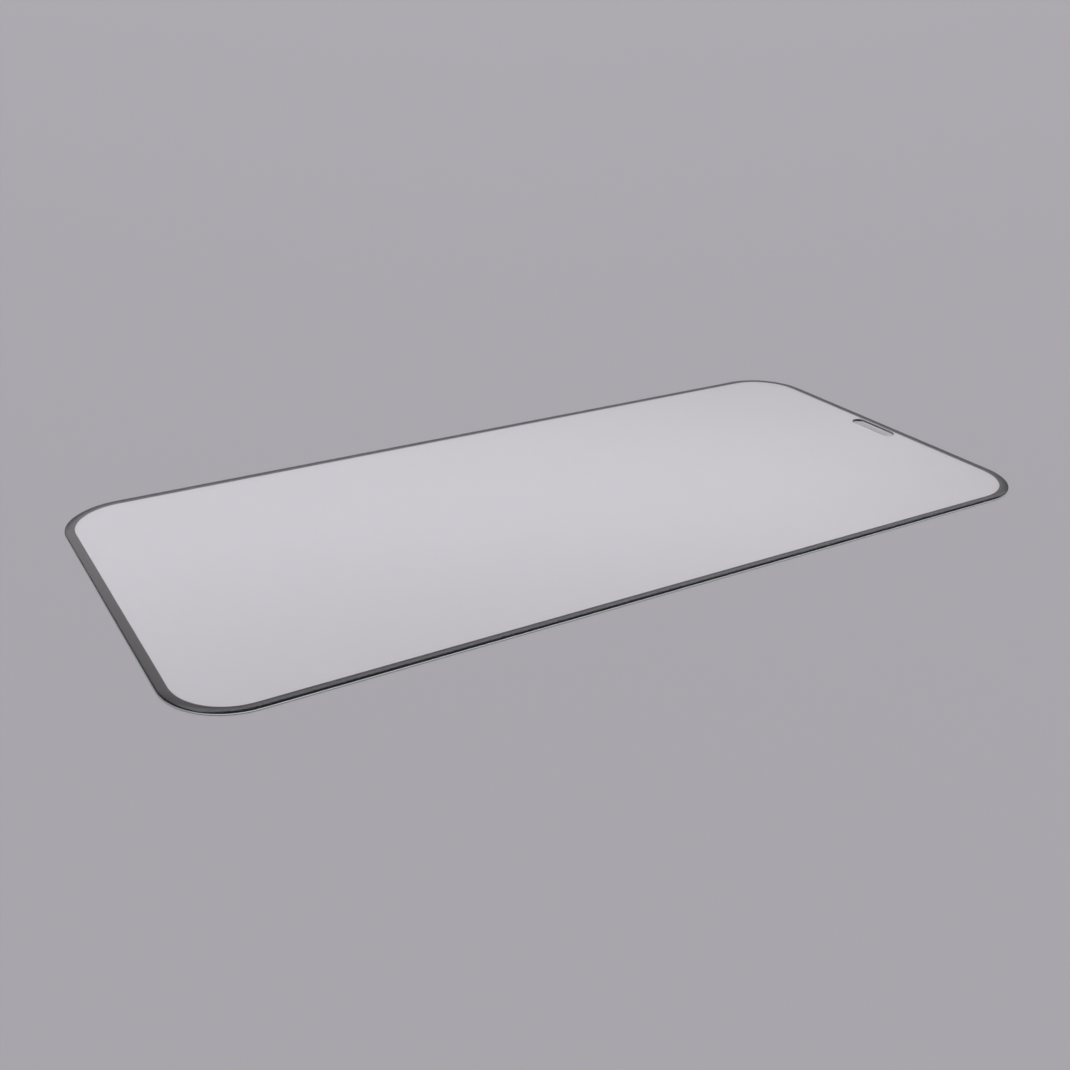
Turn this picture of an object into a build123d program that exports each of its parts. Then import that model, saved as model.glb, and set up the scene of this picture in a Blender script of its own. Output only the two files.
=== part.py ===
from build123d import *
from math import asin, degrees, radians, tan
import os

# A full-cover phone screen protector: a sheet of toughened glass with a
# polished, curved rim, an earpiece slot and a black border printed on its
# underside. It lies flat with the printed side down. Length runs along Y with
# the slot at the +Y end, width along X, and Z = 0 is the underside. All sizes
# are in millimetres.

# The sheet
panel_length = 142.7
panel_width = 67.6
panel_thickness = 0.45
corner_radius = 9.7

# The rim: a wide shallow curve runs down from the flat top, and a small round
# turns it into a short upright side
rim_width = 1.38
side_round = 0.20
side_flat = 0.03
edge_break = 0.03

# The earpiece slot, set in from where the rim's curve starts
slot_length = 9.4
slot_width = 2.3
slot_bridge = 0.77
slot_break = 0.08
slot_break_angle = 45

# The printed border: where it starts and where it ends, measured in from the
# edge of the sheet, and the thickness of the ink
print_inset = 0.10
print_reach = 1.50
print_thickness = 0.025

# The clear adhesive coat fills the window inside the border, as deep as the
# print, so the whole underside is level. It is bonded to the glass, and the
# two are one clear body.
coat_gap = 0.05

underside = print_thickness
slot_y = panel_length / 2 - rim_width - slot_bridge - slot_width / 2


def outline(inset):
    """The sheet's outline, moved in by a given distance all round."""
    return RectangleRounded(
        panel_width - 2 * inset, panel_length - 2 * inset, corner_radius - inset
    )


def rim_section():
    """The rim's section: outwards along X from where the flat top ends, with Z up."""
    side_foot = underside + edge_break
    side_top = side_foot + side_flat
    reach = rim_width - side_round
    drop = panel_thickness - side_top
    # The curve is level where the flat top ends, and meets the round without a kink
    radius = (reach**2 + drop**2 - side_round**2) / (2 * (drop - side_round))
    slope = degrees(asin(reach / (radius - side_round)))
    curve = CenterArc((0, panel_thickness - radius), radius, 90, -slope)
    turn = CenterArc((reach, side_top), side_round, 90 - slope, slope - 90)
    rest = Polyline(
        (rim_width, side_top),
        (rim_width, side_foot),
        (rim_width - edge_break, underside),
        (0, underside),
        (0, panel_thickness),
    )
    return make_face(curve + turn + rest)


def rim():
    """The curved rim, carried once round the sheet."""
    path = outline(rim_width).wire()
    along = path % 0
    start = Plane(origin=path @ 0, x_dir=along.cross(Axis.Z.direction), z_dir=-along)
    return sweep(start * rim_section(), path=path)


def slot_tool():
    """The slot right through the sheet, opened a little at both faces."""
    shaft = extrude(SlotOverall(slot_length, slot_width), panel_thickness)
    mouth = SlotOverall(slot_length + 2 * slot_break, slot_width + 2 * slot_break)
    depth = slot_break / tan(radians(slot_break_angle))
    lower = extrude(mouth, depth, taper=slot_break_angle)
    upper = Pos(0, 0, panel_thickness) * extrude(mouth, -depth, taper=slot_break_angle)
    return Pos(0, slot_y, 0) * (shaft + lower + upper)


def glass_panel():
    """The glass with its curved rim, its slot and the clear coat under its window."""
    flat = Pos(0, 0, underside) * extrude(outline(rim_width), panel_thickness - underside)
    coat = extrude(outline(print_reach + coat_gap), underside)
    return flat + rim() + coat - slot_tool()


def border_print():
    """The black border, a thin even frame of ink on the glass's underside."""
    return extrude(outline(print_inset) - outline(print_reach), print_thickness)


os.makedirs("parts", exist_ok=True)
export_step(glass_panel(), "parts/glass_panel.step")
export_step(border_print(), "parts/border_print.step")
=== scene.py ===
"""A phone screen protector: a clear glass sheet with a curved rim, an earpiece slot and a printed border."""

import math

import bpy
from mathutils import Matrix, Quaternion, Vector


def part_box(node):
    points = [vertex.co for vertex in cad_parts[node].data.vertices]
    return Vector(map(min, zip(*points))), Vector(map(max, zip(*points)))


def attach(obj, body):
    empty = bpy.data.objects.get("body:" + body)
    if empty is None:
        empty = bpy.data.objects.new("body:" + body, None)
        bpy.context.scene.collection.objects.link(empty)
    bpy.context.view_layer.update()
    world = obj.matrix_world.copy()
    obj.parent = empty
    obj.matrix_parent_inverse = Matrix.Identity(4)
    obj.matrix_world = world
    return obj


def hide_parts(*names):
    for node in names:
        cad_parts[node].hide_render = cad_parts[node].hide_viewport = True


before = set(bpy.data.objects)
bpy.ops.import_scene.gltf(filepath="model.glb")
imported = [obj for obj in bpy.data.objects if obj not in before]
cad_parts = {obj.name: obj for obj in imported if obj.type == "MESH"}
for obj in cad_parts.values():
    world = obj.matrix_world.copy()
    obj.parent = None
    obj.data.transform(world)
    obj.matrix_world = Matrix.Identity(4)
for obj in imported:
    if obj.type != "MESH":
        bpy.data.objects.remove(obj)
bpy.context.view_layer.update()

bl_info = {
    "name": "Phone Screen Protector",
    "version": (1, 0, 0),
    "blender": (4, 5, 0),
    "location": "3D View > Sidebar > Protector",
    "description": "Makes a glass screen protector with a printed border, and a plain studio round it",
    "category": "Object",
}

MM = 0.001
BODY = "root"
glass_low, glass_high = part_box("glass_panel")
print_low, print_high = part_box("border_print")


# Sizes and looks

def distance(name, description, default):
    """A length in metres."""
    return bpy.props.FloatProperty(
        name=name, description=description, default=default, precision=6, unit="LENGTH"
    )


def point(name, description, default):
    """A place in the part's frame, in metres."""
    return bpy.props.FloatVectorProperty(
        name=name, description=description, default=default, size=3, precision=5, subtype="TRANSLATION"
    )


def colour(name, description, default):
    """A linear colour."""
    return bpy.props.FloatVectorProperty(
        name=name, description=description, default=default, size=3, min=0.0, max=1.0, subtype="COLOR"
    )


def amount(name, description, default):
    """A plain number."""
    return bpy.props.FloatProperty(name=name, description=description, default=default, min=0.0, precision=4)


def angle(name, description, default):
    """An angle, given here in degrees and kept in radians."""
    return bpy.props.FloatProperty(
        name=name, description=description, default=math.radians(default), subtype="ANGLE"
    )


class GlassSizes(bpy.types.PropertyGroup):
    """The glass sheet's sizes."""

    width: distance("Width", "Across the short way, edge to edge", glass_high.x - glass_low.x)
    length: distance("Length", "Along the long way, edge to edge", glass_high.y - glass_low.y)
    thickness: distance("Thickness", "From the underside to the flat top", glass_high.z - glass_low.z)
    corner_radius: distance("Corner Radius", "Of the outline's corners", 9.7 * MM)
    rim_width: distance("Rim Width", "How far the curved rim reaches in from the edge", 1.38 * MM)
    side_round: distance("Side Rounding", "Radius where the rim's curve turns into the side", 0.20 * MM)
    side_flat: distance("Side Height", "Of the upright side above its edge break", 0.03 * MM)
    edge_break: distance("Edge Break", "Chamfer at the foot of the side", 0.03 * MM)
    coat_gap: distance("Coat Gap", "Between the border and the clear coat inside it", 0.05 * MM)
    slot_length: distance("Slot Length", "Of the earpiece slot, end to end", 9.4 * MM)
    slot_width: distance("Slot Width", "Of the earpiece slot", 2.3 * MM)
    slot_bridge: distance("Slot Bridge", "Flat glass between the slot and the rim's curve", 0.77 * MM)
    slot_break: distance("Slot Break", "Chamfer round the slot at both faces", 0.08 * MM)


class PrintSizes(bpy.types.PropertyGroup):
    """The printed border's sizes."""

    inset: distance("Inset", "From the sheet's edge to the border's", glass_high.x - print_high.x)
    reach: distance("Reach", "From the sheet's edge to the border's inner edge", 1.5 * MM)
    thickness: distance("Thickness", "Of the ink", print_high.z - print_low.z)
    edge_round: distance("Edge Rounding", "Radius of the ink film's lower edges", 0.01 * MM)
    contact: distance("Contact", "How far the ink wets into the glass", 0.002 * MM)


class GlassLook(bpy.types.PropertyGroup):
    """The clear glass's finish."""

    body: colour("Body", "Colour of the light that passes the faces", (0.995, 0.998, 0.997))
    edge_tint: colour("Edge Tint", "Colour that long paths inside the glass take on", (0.66, 0.87, 0.84))
    tint_density: amount("Tint Density", "How fast the glass takes on that colour, per metre", 20.0)
    bend: amount("Index of Refraction", "Of toughened glass", 1.51)
    polish: amount("Polish", "Roughness of the polished faces", 0.006)
    wipe: amount("Wipe", "Roughness that faint wiping marks add", 0.012)
    wipe_spacing: distance("Wipe Spacing", "Between those marks", 9.0 * MM)
    satin: colour("Satin", "Colour of the ground side, which scatters the light", (0.56, 0.62, 0.61))
    satin_share: amount("Satin Share", "How much of the ground side scatters", 0.60)
    satin_roughness: amount("Satin Roughness", "Roughness of the ground side", 0.45)
    satin_foot: distance("Satin Foot", "Height at which the ground side begins", 0.08 * MM)
    satin_full: distance("Satin Full", "Height from which it is fully ground", 0.12 * MM)
    wave_height: distance("Wave Height", "Of the faint waves that toughening leaves", 0.0015 * MM)
    wave_spacing: distance("Wave Spacing", "Between those waves", 14.0 * MM)


class InkLook(bpy.types.PropertyGroup):
    """The border ink's finish."""

    dark: colour("Dark", "The ink where it lies thick", (0.0045, 0.0045, 0.0050))
    pale: colour("Pale", "The ink where it lies thin", (0.0100, 0.0100, 0.0108))
    roughness: amount("Roughness", "Of the cured ink", 0.42)
    gloss: amount("Gloss", "Level of the ink's own gloss, low because the glass wets it", 0.10)
    grain_height: distance("Grain Height", "Of the marks that the printing screen leaves", 0.002 * MM)
    grain_spacing: distance("Grain Spacing", "Between those marks", 0.10 * MM)


class StageLook(bpy.types.PropertyGroup):
    """The floor, the light and the camera."""

    floor: colour("Floor", "The plain floor", (0.395, 0.388, 0.400))
    floor_roughness: amount("Floor Roughness", "Of the plain floor", 0.8)
    floor_reach: distance("Floor Reach", "From the middle of the floor to its edge", 40.0)
    floor_gap: distance("Floor Gap", "Of air between the floor and the sheet", 0.05 * MM)
    light: colour("Light", "The soft light", (0.977, 0.945, 1.0))
    dim: amount("Dim", "Radiance of the studio round the two soft panels", 0.14)
    wall: amount("Wall", "Radiance that the pale walls add near the floor", 0.32)
    wall_full: angle("Wall Full", "Height up to which the walls keep their full light", 6.0)
    wall_end: angle("Wall End", "Height at which the walls' light ends", 20.0)
    far_glow: amount("Far Glow", "Radiance that the far panel adds", 1.20)
    far_gap: angle("Far Gap", "From straight up to the far panel's top edge", 32.0)
    far_left: angle("Far Left", "How far the far panel reaches to the left of straight across", 8.0)
    far_right: angle("Far Right", "How far it reaches to the right of straight across", 64.0)
    right_blur: angle("Right Blur", "How far its right end fades", 44.0)
    far_lift: amount("Far Lift", "Share of light that the far panel gains towards its top", 0.85)
    far_sag: amount("Far Sag", "Share of light that the far panel loses below that", 0.25)
    sag_start: angle("Sag Start", "From straight up to where it starts to lose light", 64.0)
    near_glow: amount("Near Glow", "Radiance that the near panel adds", 1.50)
    near_lift: amount("Near Lift", "Share of light that the near panel gains towards its top", 1.05)
    near_gap: angle("Near Gap", "From straight up to the near panel's top edge", 20.0)
    lift_start: angle("Lift Start", "From straight up to where the panels start to gain light", 50.0)
    lift_full: angle("Lift Full", "From straight up to where they have gained it all", 38.0)
    panel_foot: angle("Panel Foot", "Height at which the panels begin", 10.0)
    panel_full: angle("Panel Full", "Height at which the panels reach their full light", 26.0)
    panel_blur: angle("Panel Blur", "How far the panels' other edges fade", 6.0)
    eye: point("Eye", "Where the camera stands", (154.05 * MM, -97.37 * MM, 81.12 * MM))
    aim: point("Aim", "The point on the floor that the camera looks at", (8.70 * MM, -9.90 * MM, 0.0))
    roll: angle("Roll", "The camera's turn about its own line of sight", 0.883)
    lens: amount("Lens", "Focal length in millimetres", 41.914)
    sensor: amount("Sensor", "Width of the camera's sensor in millimetres", 36.0)
    nearest: distance("Nearest", "The shortest distance that the camera sees", 10.0 * MM)


# Node trees

class Wire:
    """One output of a node. Arithmetic on it adds Math nodes to its tree."""

    def __init__(self, maker, socket):
        self.maker = maker
        self.socket = socket

    def math(self, operation, *values):
        return self.maker.add("ShaderNodeMath", {"operation": operation}, dict(enumerate(values)))

    def __add__(self, other):
        return self.math("ADD", self, other)

    def __radd__(self, other):
        return self.math("ADD", other, self)

    def __sub__(self, other):
        return self.math("SUBTRACT", self, other)

    def __rsub__(self, other):
        return self.math("SUBTRACT", other, self)

    def __mul__(self, other):
        return self.math("MULTIPLY", self, other)

    def __rmul__(self, other):
        return self.math("MULTIPLY", other, self)

    def __neg__(self):
        return self.math("MULTIPLY", self, -1.0)

    def other(self, output):
        """Another output of the same node."""
        return Wire(self.maker, self.socket.node.outputs[output])

    def rise(self, low, high):
        """Runs smoothly from 0 at the low value to 1 at the high one."""
        sockets = {"Value": self, "From Min": low, "From Max": high}
        return self.maker.add("ShaderNodeMapRange", {"interpolation_type": "SMOOTHSTEP"}, sockets)

    def edge(self, middle, blur):
        """Runs smoothly from 0 to 1 across an edge that is this blurred."""
        return self.rise(middle - blur / 2, middle + blur / 2)


class NodeMaker:
    """Adds nodes to one tree and links them."""

    def __init__(self, tree):
        self.tree = tree

    def add(self, kind, settings=None, sockets=None, output=0):
        """A node of one kind: its settings first, then the values or links of its sockets."""
        node = self.tree.nodes.new(kind)
        for name, value in (settings or {}).items():
            setattr(node, name, value)
        for key, value in (sockets or {}).items():
            for item in value if isinstance(value, list) else [value]:
                if isinstance(item, Wire):
                    self.tree.links.new(item.socket, node.inputs[key])
                else:
                    node.inputs[key].default_value = item
        return Wire(self, node.outputs[output]) if node.outputs else None


class ShapeTree(NodeMaker):
    """A Geometry Nodes tree with named inputs and one geometry output."""

    def __init__(self, name, inputs):
        super().__init__(bpy.data.node_groups.new(name, "GeometryNodeTree"))
        self.identifiers = {}
        for label, kind in inputs.items():
            socket = self.tree.interface.new_socket(label, in_out="INPUT", socket_type=kind)
            self.identifiers[label] = socket.identifier
        self.tree.interface.new_socket("Geometry", in_out="OUTPUT", socket_type="NodeSocketGeometry")
        self.entry = self.tree.nodes.new("NodeGroupInput")

    def input(self, label):
        return Wire(self, self.entry.outputs[label])

    def close(self, geometry, material=None):
        """Ends the tree, with its instances made real and its material set where it has one."""
        if material:
            real = self.add("GeometryNodeRealizeInstances", sockets={"Geometry": geometry})
            geometry = self.add("GeometryNodeSetMaterial", sockets={"Geometry": real, "Material": material})
        self.add("NodeGroupOutput", sockets={"Geometry": geometry})

    def piece(self, name, values):
        """A plain mesh object, made by the tree from these values."""
        piece = bpy.data.objects.new(name, bpy.data.meshes.new(name))
        bpy.context.scene.collection.objects.link(piece)
        modifier = piece.modifiers.new("shape", "NODES")
        modifier.node_group = self.tree
        for label, value in values.items():
            modifier[self.identifiers[label]] = value
        evaluated = piece.evaluated_get(bpy.context.evaluated_depsgraph_get())
        made = bpy.data.meshes.new_from_object(evaluated)
        if not made.polygons:
            raise RuntimeError(f"{name}: the tree made no faces")
        piece.modifiers.remove(modifier)
        piece.data = made
        made.name = name
        return piece


# Where a Mix node set to colours has its sockets
MIX_SHARE, MIX_FIRST, MIX_SECOND, MIX_COLOUR = 0, 6, 7, 2


def rgba(values):
    """A colour with the alpha that a colour socket wants."""
    return (*values, 1.0)


class SurfaceTree(NodeMaker):
    """One material and its nodes."""

    def __init__(self, name):
        self.material = bpy.data.materials.new(name)
        self.material.use_nodes = True
        super().__init__(self.material.node_tree)
        self.tree.nodes.clear()

    def place(self):
        return self.add("ShaderNodeTexCoord", output="Object")

    def noise(self, place, spacing, detail=2.0):
        """Soft noise from 0 to 1, with its marks about this far apart."""
        sockets = {"Vector": place, "Scale": 1.0 / spacing, "Detail": detail}
        return self.add("ShaderNodeTexNoise", sockets=sockets)

    def bump(self, height, depth):
        """The normal of a surface whose height runs from 0 to this depth."""
        return self.add("ShaderNodeBump", sockets={"Height": height, "Distance": depth})

    def mix(self, share, first, second):
        """A colour between two others."""
        sockets = {MIX_SHARE: share, MIX_FIRST: rgba(first), MIX_SECOND: rgba(second)}
        return self.add("ShaderNodeMix", {"data_type": "RGBA"}, sockets, output=MIX_COLOUR)

    def shader(self, sockets):
        return self.add("ShaderNodeBsdfPrincipled", sockets=sockets)

    def blend(self, share, first, second):
        """One shader that is partly another."""
        return self.add("ShaderNodeMixShader", sockets={0: share, 1: first, 2: second})

    def close(self, shader, volume=None):
        ends = {"Surface": shader}
        if volume:
            ends["Volume"] = volume
        self.add("ShaderNodeOutputMaterial", sockets=ends)
        return self.material


# Materials

def clear_glass(look):
    """Polished toughened glass, with a satin finish where its side was ground."""
    surface = SurfaceTree("clear_glass")
    place = surface.place()
    height = surface.add("ShaderNodeSeparateXYZ", sockets={"Vector": place}, output="Z")
    ground = surface.add("ShaderNodeAttribute", {"attribute_name": GROUND}, output="Fac")
    ground = ground * height.rise(look.satin_foot, look.satin_full)
    wiped = surface.noise(place, look.wipe_spacing)
    waves = surface.noise(place, look.wave_spacing, detail=0.0)
    tint = {"Color": rgba(look.edge_tint), "Density": look.tint_density}
    polished = surface.shader(
        {
            "Base Color": rgba(look.body),
            "Roughness": wiped * look.wipe + look.polish,
            "IOR": look.bend,
            "Transmission Weight": 1.0,
            "Normal": surface.bump(waves, look.wave_height),
        }
    )
    satin = surface.shader({"Base Color": rgba(look.satin), "Roughness": look.satin_roughness})
    return surface.close(
        surface.blend(ground * look.satin_share, polished, satin),
        volume=surface.add("ShaderNodeVolumeAbsorption", sockets=tint),
    )


def black_ink(look):
    """Cured screen-print ink: black and satin, with the fine grain of the screen."""
    surface = SurfaceTree("black_ink")
    grain = surface.noise(surface.place(), look.grain_spacing)
    ink = {
        "Base Color": surface.mix(grain, look.dark, look.pale),
        "Roughness": look.roughness,
        "Specular IOR Level": look.gloss,
        "Normal": surface.bump(grain, look.grain_height),
    }
    return surface.close(surface.shader(ink))


def pale_floor(look):
    """The plain, even floor."""
    surface = SurfaceTree("pale_floor")
    return surface.close(surface.shader({"Base Color": rgba(look.floor), "Roughness": look.floor_roughness}))


# Shapes

FLOAT = "NodeSocketFloat"
WHOLE = "NodeSocketInt"
OBJECT = "NodeSocketObject"
MATERIAL = "NodeSocketMaterial"
# The attribute that marks the ground side, and the slope at which the grinding starts
GROUND = "ground"
GROUND_FROM = math.radians(45.0)
# Straight steps in each corner, in the rim's curve and in each small rounding
CORNER_STEPS = 56
CURVE_STEPS = 28
ROUND_STEPS = 12
# Points closer than this are one point, and edges that turn more than this are sharp
WELD = 0.003 * MM
CREASE = math.radians(30.0)
# Just under a half circle at each end of the slot, so that two corners never meet in one point
SLOT_FULLNESS = 0.9995


def arc(centre, radius, start, end, steps):
    """Points on an arc in a section, with angles taken from straight up and turning outwards."""
    turns = [start + (end - start) * step / steps for step in range(steps + 1)]
    return [(centre[0] + radius * math.sin(t), centre[1] + radius * math.cos(t)) for t in turns]


def rim_section(glass, ink):
    """The rim in two stretches: polished from the flat top over its curve, and ground down its side."""
    side_foot = ink.thickness + glass.edge_break
    side_top = side_foot + glass.side_flat
    reach = glass.rim_width - glass.side_round
    drop = glass.thickness - side_top
    radius = (reach**2 + drop**2 - glass.side_round**2) / (2 * (drop - glass.side_round))
    slope = math.asin(reach / (radius - glass.side_round))
    coat_edge = glass.rim_width - ink.reach - glass.coat_gap
    curve = arc((0.0, glass.thickness - radius), radius, 0.0, slope, CURVE_STEPS)
    upper = arc((reach, side_top), glass.side_round, slope, GROUND_FROM, ROUND_STEPS)
    lower = arc((reach, side_top), glass.side_round, GROUND_FROM, math.pi / 2, ROUND_STEPS)
    foot = [
        (glass.rim_width, side_foot),
        (glass.rim_width - glass.edge_break, ink.thickness),
        (coat_edge, ink.thickness),
        (coat_edge, 0.0),
    ]
    return curve + upper[1:], lower + foot


def slot_section(glass):
    """The slot's wall from the underside to the top, opened at both faces."""
    edge = glass.slot_break
    return [(edge, 0.0), (0.0, edge), (0.0, glass.thickness - edge), (edge, glass.thickness)]


def print_section(ink):
    """The ink film, sharp against the glass and rounded at its lower edges."""
    half = (ink.reach - ink.inset) / 2
    soft = ink.edge_round
    top = ink.thickness + ink.contact
    outer = arc((half - soft, soft), soft, math.pi / 2, math.pi, ROUND_STEPS)
    inner = arc((soft - half, soft), soft, math.pi, math.pi * 1.5, ROUND_STEPS)
    return [(-half, top), (half, top)] + outer + inner


def section_curve(name, points, closed=False):
    """A curve through (outwards, up) points, as Curve to Mesh carries it round a path."""
    data = bpy.data.curves.new(name, "CURVE")
    data.dimensions = "3D"
    line = data.splines.new("POLY")
    line.points.add(len(points) - 1)
    for knot, (outwards, up) in zip(line.points, points):
        knot.co = (outwards, -up, 0.0, 1.0)
    line.use_cyclic_u = closed
    section = bpy.data.objects.new(name, data)
    bpy.context.scene.collection.objects.link(section)
    return section


def outline_tree():
    """A rectangle with round corners, as a closed path that runs counter-clockwise."""
    inputs = {"Width": FLOAT, "Length": FLOAT, "Radius": FLOAT, "Steps": WHOLE}
    tree = ShapeTree("rounded_outline", inputs)
    sides = {"Width": tree.input("Width"), "Height": tree.input("Length")}
    corners = {
        "Curve": tree.add("GeometryNodeCurvePrimitiveQuadrilateral", sockets=sides),
        "Count": tree.input("Steps"),
        "Radius": tree.input("Radius"),
    }
    tree.close(tree.add("GeometryNodeFilletCurve", {"mode": "POLY"}, corners))
    return tree.tree


def inset_outline(tree, outline, inset):
    """The sheet's outline, moved in by a distance."""
    sockets = {
        "Width": tree.input("Width") - inset * 2.0,
        "Length": tree.input("Length") - inset * 2.0,
        "Radius": tree.input("Corner Radius") - inset,
        "Steps": tree.input("Corner Steps"),
    }
    return tree.add("GeometryNodeGroup", {"node_tree": outline}, sockets)


def slot_outline(tree, outline, grow):
    """The slot's outline, moved out by a distance."""
    across = tree.input("Slot Width") + grow * 2.0
    sockets = {
        "Width": tree.input("Slot Length") + grow * 2.0,
        "Length": across,
        "Radius": across * (SLOT_FULLNESS / 2),
        "Steps": tree.input("Corner Steps"),
    }
    path = tree.add("GeometryNodeGroup", {"node_tree": outline}, sockets)
    centre = tree.add("ShaderNodeCombineXYZ", sockets={"Y": tree.input("Slot Centre")})
    return tree.add("GeometryNodeTransform", sockets={"Geometry": path, "Translation": centre})


def carried(tree, path, section):
    """A section's object carried once round a path."""
    info = tree.add("GeometryNodeObjectInfo", sockets={"Object": section}, output="Geometry")
    strip = tree.add("GeometryNodeCurveToMesh", sockets={"Curve": path, "Profile Curve": info})
    return tree.add("GeometryNodeSetShadeSmooth", sockets={"Geometry": strip, "Shade Smooth": True})


def faced(tree, paths, height):
    """A flat face between closed paths, at a height."""
    joined = tree.add("GeometryNodeJoinGeometry", sockets={"Geometry": paths})
    face = tree.add("GeometryNodeFillCurve", sockets={"Curve": joined})
    flat = tree.add("GeometryNodeSetShadeSmooth", sockets={"Geometry": face, "Shade Smooth": False})
    lift = tree.add("ShaderNodeCombineXYZ", sockets={"Z": height})
    return tree.add("GeometryNodeTransform", sockets={"Geometry": flat, "Translation": lift})


def creased(tree, mesh):
    """The mesh with its sharp turns marked, so that only its curves are shaded smooth."""
    bend = tree.add("GeometryNodeInputMeshEdgeAngle")
    sharp = tree.add("FunctionNodeCompare", {"operation": "GREATER_THAN"}, {0: bend, 1: CREASE})
    sockets = {"Geometry": mesh, "Selection": sharp, "Shade Smooth": False}
    return tree.add("GeometryNodeSetShadeSmooth", {"domain": "EDGE"}, sockets)


def glass_tree(outline):
    """The glass sheet: its rim carried round, its faces filled up to the rim, and its slot."""
    sizes = ["Width", "Length", "Thickness", "Corner Radius", "Rim Width", "Coat Inset"]
    sizes += ["Slot Length", "Slot Width", "Slot Centre", "Slot Break"]
    inputs = {label: FLOAT for label in sizes}
    inputs |= {"Corner Steps": WHOLE, "Rim": OBJECT, "Side": OBJECT, "Slot": OBJECT, "Material": MATERIAL}
    tree = ShapeTree("glass_sheet", inputs)
    flat = inset_outline(tree, outline, tree.input("Rim Width"))
    coat = inset_outline(tree, outline, tree.input("Coat Inset"))
    mouth = slot_outline(tree, outline, tree.input("Slot Break"))
    rim = carried(tree, flat, tree.input("Rim"))
    side = carried(tree, flat, tree.input("Side"))
    marked = {"Geometry": side, "Name": GROUND, "Value": 1.0}
    side = tree.add("GeometryNodeStoreNamedAttribute", {"domain": "FACE"}, marked)
    wall = carried(tree, slot_outline(tree, outline, 0.0), tree.input("Slot"))
    top = faced(tree, [flat, mouth], tree.input("Thickness"))
    under = tree.add("GeometryNodeFlipFaces", sockets={"Mesh": faced(tree, [coat, mouth], 0.0)})
    whole = tree.add("GeometryNodeJoinGeometry", sockets={"Geometry": [rim, side, wall, top, under]})
    welded = tree.add("GeometryNodeMergeByDistance", sockets={"Geometry": whole, "Distance": WELD})
    tree.close(creased(tree, welded), tree.input("Material"))
    return tree


def print_tree(outline):
    """The printed border: one film section carried round the sheet."""
    sizes = ["Width", "Length", "Corner Radius", "Middle"]
    inputs = {label: FLOAT for label in sizes}
    inputs |= {"Corner Steps": WHOLE, "Film": OBJECT, "Material": MATERIAL}
    tree = ShapeTree("border_print", inputs)
    path = inset_outline(tree, outline, tree.input("Middle"))
    film = carried(tree, path, tree.input("Film"))
    tree.close(creased(tree, film), tree.input("Material"))
    return tree


# Operators

class PROTECTOR_OT_glass(bpy.types.Operator):
    """Make the clear glass sheet"""

    bl_idname = "protector.glass"
    bl_label = "Make Glass Sheet"

    def execute(self, context):
        glass = context.scene.protector_glass
        ink = context.scene.protector_print
        polished, ground = rim_section(glass, ink)
        rim = section_curve("rim_section", polished)
        side = section_curve("side_section", ground)
        slot = section_curve("slot_section", slot_section(glass))
        slot_edge = glass.length / 2 - glass.rim_width - glass.slot_bridge
        values = {
            "Width": glass.width,
            "Length": glass.length,
            "Thickness": glass.thickness,
            "Corner Radius": glass.corner_radius,
            "Rim Width": glass.rim_width,
            "Coat Inset": ink.reach + glass.coat_gap,
            "Slot Length": glass.slot_length,
            "Slot Width": glass.slot_width,
            "Slot Centre": slot_edge - glass.slot_width / 2,
            "Slot Break": glass.slot_break,
            "Corner Steps": CORNER_STEPS,
            "Rim": rim,
            "Side": side,
            "Slot": slot,
            "Material": clear_glass(context.scene.protector_glass_look),
        }
        sheet = glass_tree(outline_tree()).piece("clear_sheet", values)
        for section in (rim, side, slot):
            bpy.data.objects.remove(section)
        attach(sheet, BODY)
        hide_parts("glass_panel")
        # Clear glass leaves what lies under it in the light
        sheet.visible_shadow = False
        sheet.visible_diffuse = False
        return {"FINISHED"}


class PROTECTOR_OT_border(bpy.types.Operator):
    """Make the printed border on the sheet's underside"""

    bl_idname = "protector.border"
    bl_label = "Make Printed Border"

    def execute(self, context):
        glass = context.scene.protector_glass
        ink = context.scene.protector_print
        film = section_curve("film_section", print_section(ink), closed=True)
        values = {
            "Width": glass.width,
            "Length": glass.length,
            "Corner Radius": glass.corner_radius,
            "Middle": (ink.inset + ink.reach) / 2,
            "Corner Steps": CORNER_STEPS,
            "Film": film,
            "Material": black_ink(context.scene.protector_ink_look),
        }
        border = print_tree(outline_tree()).piece("printed_border", values)
        bpy.data.objects.remove(film)
        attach(border, BODY)
        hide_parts("border_print")
        return {"FINISHED"}


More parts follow.
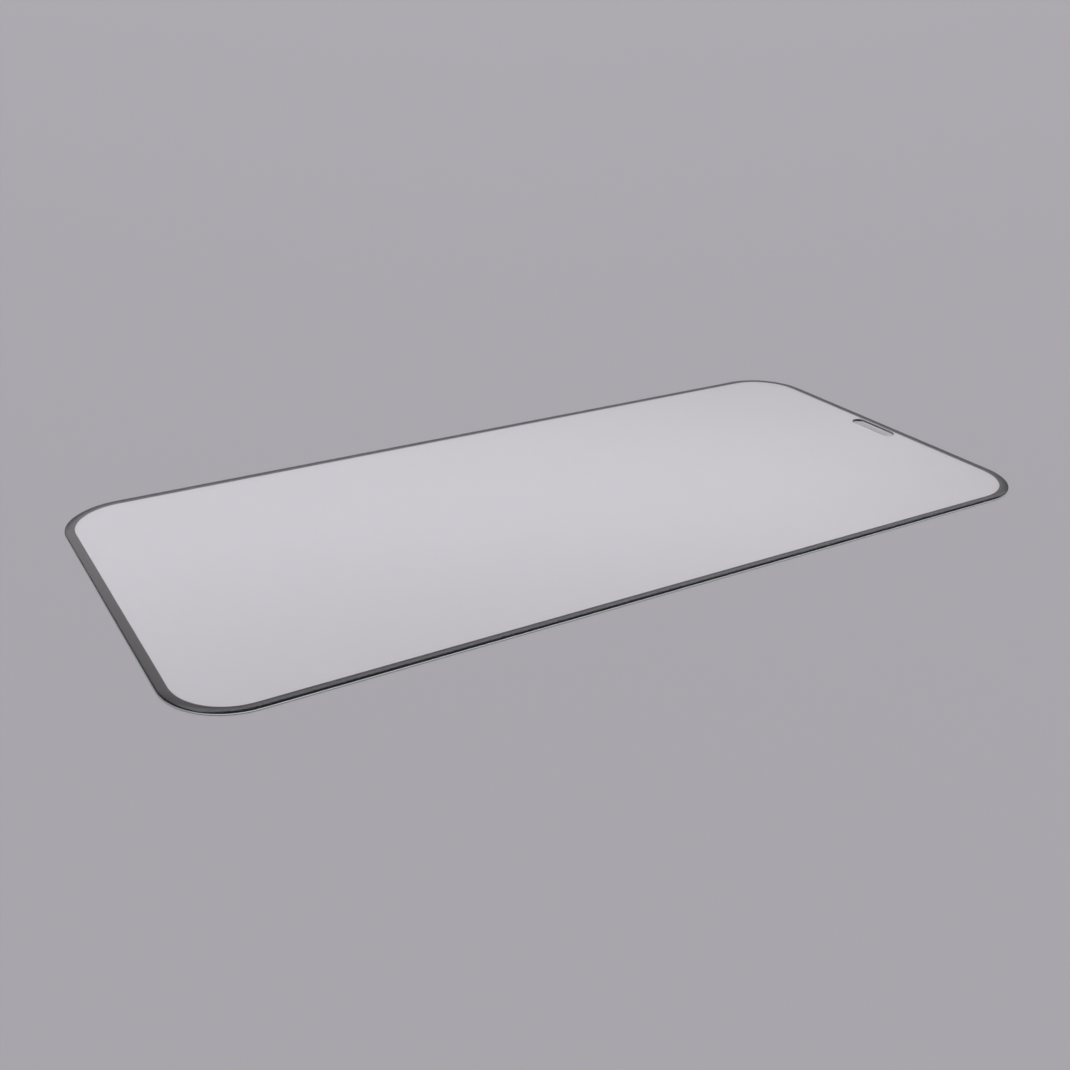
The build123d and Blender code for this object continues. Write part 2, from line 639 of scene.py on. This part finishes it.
class PROTECTOR_OT_stage(bpy.types.Operator):
    """Lay the floor, and set the light and the camera"""

    bl_idname = "protector.stage"
    bl_label = "Set Stage"

    def execute(self, context):
        look = context.scene.protector_stage
        self.floor(context, look)
        self.sky(context, look)
        self.camera(context, look)
        context.scene.view_settings.view_transform = "Standard"
        return {"FINISHED"}

    def floor(self, context, look):
        """A wide flat floor, a hair under the sheet."""
        reach = look.floor_reach
        corners = [(-reach, -reach), (reach, -reach), (reach, reach), (-reach, reach)]
        mesh = bpy.data.meshes.new("floor")
        mesh.from_pydata([(x, y, -look.floor_gap) for x, y in corners], [], [(0, 1, 2, 3)])
        mesh.materials.append(pale_floor(look))
        floor = bpy.data.objects.new("floor", mesh)
        context.scene.collection.objects.link(floor)

    def sky(self, context, look):
        """Two soft panels along the sheet's long sides, a dim gap over it, and pale walls near the floor."""
        world = bpy.data.worlds.new("studio")
        world.use_nodes = True
        sky = NodeMaker(world.node_tree)
        sky.tree.nodes.clear()
        way = sky.add("ShaderNodeTexCoord", output="Generated")
        across = sky.add("ShaderNodeSeparateXYZ", sockets={"Vector": way}, output="X")
        along = across.other("Y")
        up = across.other("Z")
        # A direction's height, its lean from straight up, and its turn from straight across
        height = up.math("ARCSINE", up)
        lean = across.math("ARCTAN2", across, up)
        turn = along.math("ARCTAN2", along, -across)
        ends = turn.edge(-look.far_left, look.panel_blur) * (1 - turn.edge(look.far_right, look.right_blur))
        tilt = lean.math("ABSOLUTE", lean)
        lift = 1 - tilt.rise(look.lift_full, look.lift_start)
        sag = 1 - tilt.rise(look.lift_start, look.sag_start)
        far = (-lean).edge(look.far_gap, look.panel_blur) * ends * look.far_glow
        far = far * (1 + lift * look.far_lift - sag * look.far_sag)
        near = lean.edge(look.near_gap, look.panel_blur) * look.near_glow
        near = near * (1 + lift * look.near_lift)
        panels = (far + near) * height.rise(look.panel_foot, look.panel_full)
        walls = (1 - height.rise(look.wall_full, look.wall_end)) * look.wall
        sockets = {"Color": rgba(look.light), "Strength": panels + walls + look.dim}
        background = sky.add("ShaderNodeBackground", sockets=sockets)
        sky.add("ShaderNodeOutputWorld", sockets={"Surface": background})
        context.scene.world = world

    def camera(self, context, look):
        """The camera, turned to a point on the floor and rolled a little."""
        data = bpy.data.cameras.new("camera")
        data.lens = look.lens
        data.sensor_width = look.sensor
        data.clip_start = look.nearest
        camera = bpy.data.objects.new("camera", data)
        camera.location = look.eye
        camera.rotation_mode = "QUATERNION"
        sight = Vector(look.aim) - Vector(look.eye)
        roll = Quaternion((0.0, 0.0, 1.0), look.roll)
        camera.rotation_quaternion = sight.to_track_quat("-Z", "Y") @ roll
        context.scene.collection.objects.link(camera)
        context.scene.camera = camera


class PROTECTOR_PT_panel(bpy.types.Panel):
    """Lists the pieces, and the sizes and looks that they are made from."""

    bl_idname = "PROTECTOR_PT_panel"
    bl_label = "Screen Protector"
    bl_space_type = "VIEW_3D"
    bl_region_type = "UI"
    bl_category = "Protector"

    def draw(self, context):
        for operator in OPERATORS:
            self.layout.operator(operator.bl_idname)
        for name, group in GROUPS.items():
            box = self.layout.box()
            box.label(text=group.__doc__)
            for key in group.__annotations__:
                box.prop(getattr(context.scene, name), key)


GROUPS = {
    "protector_glass": GlassSizes,
    "protector_print": PrintSizes,
    "protector_glass_look": GlassLook,
    "protector_ink_look": InkLook,
    "protector_stage": StageLook,
}
OPERATORS = [PROTECTOR_OT_glass, PROTECTOR_OT_border, PROTECTOR_OT_stage]


def register():
    for name, group in GROUPS.items():
        bpy.utils.register_class(group)
        setattr(bpy.types.Scene, name, bpy.props.PointerProperty(type=group))
    for operator in OPERATORS:
        bpy.utils.register_class(operator)
    bpy.utils.register_class(PROTECTOR_PT_panel)


def unregister():
    bpy.utils.unregister_class(PROTECTOR_PT_panel)
    for operator in reversed(OPERATORS):
        bpy.utils.unregister_class(operator)
    for name, group in reversed(GROUPS.items()):
        delattr(bpy.types.Scene, name)
        bpy.utils.unregister_class(group)


def main():
    register()
    bpy.ops.protector.glass()
    bpy.ops.protector.border()
    bpy.ops.protector.stage()


if __name__ == "__main__":
    main()
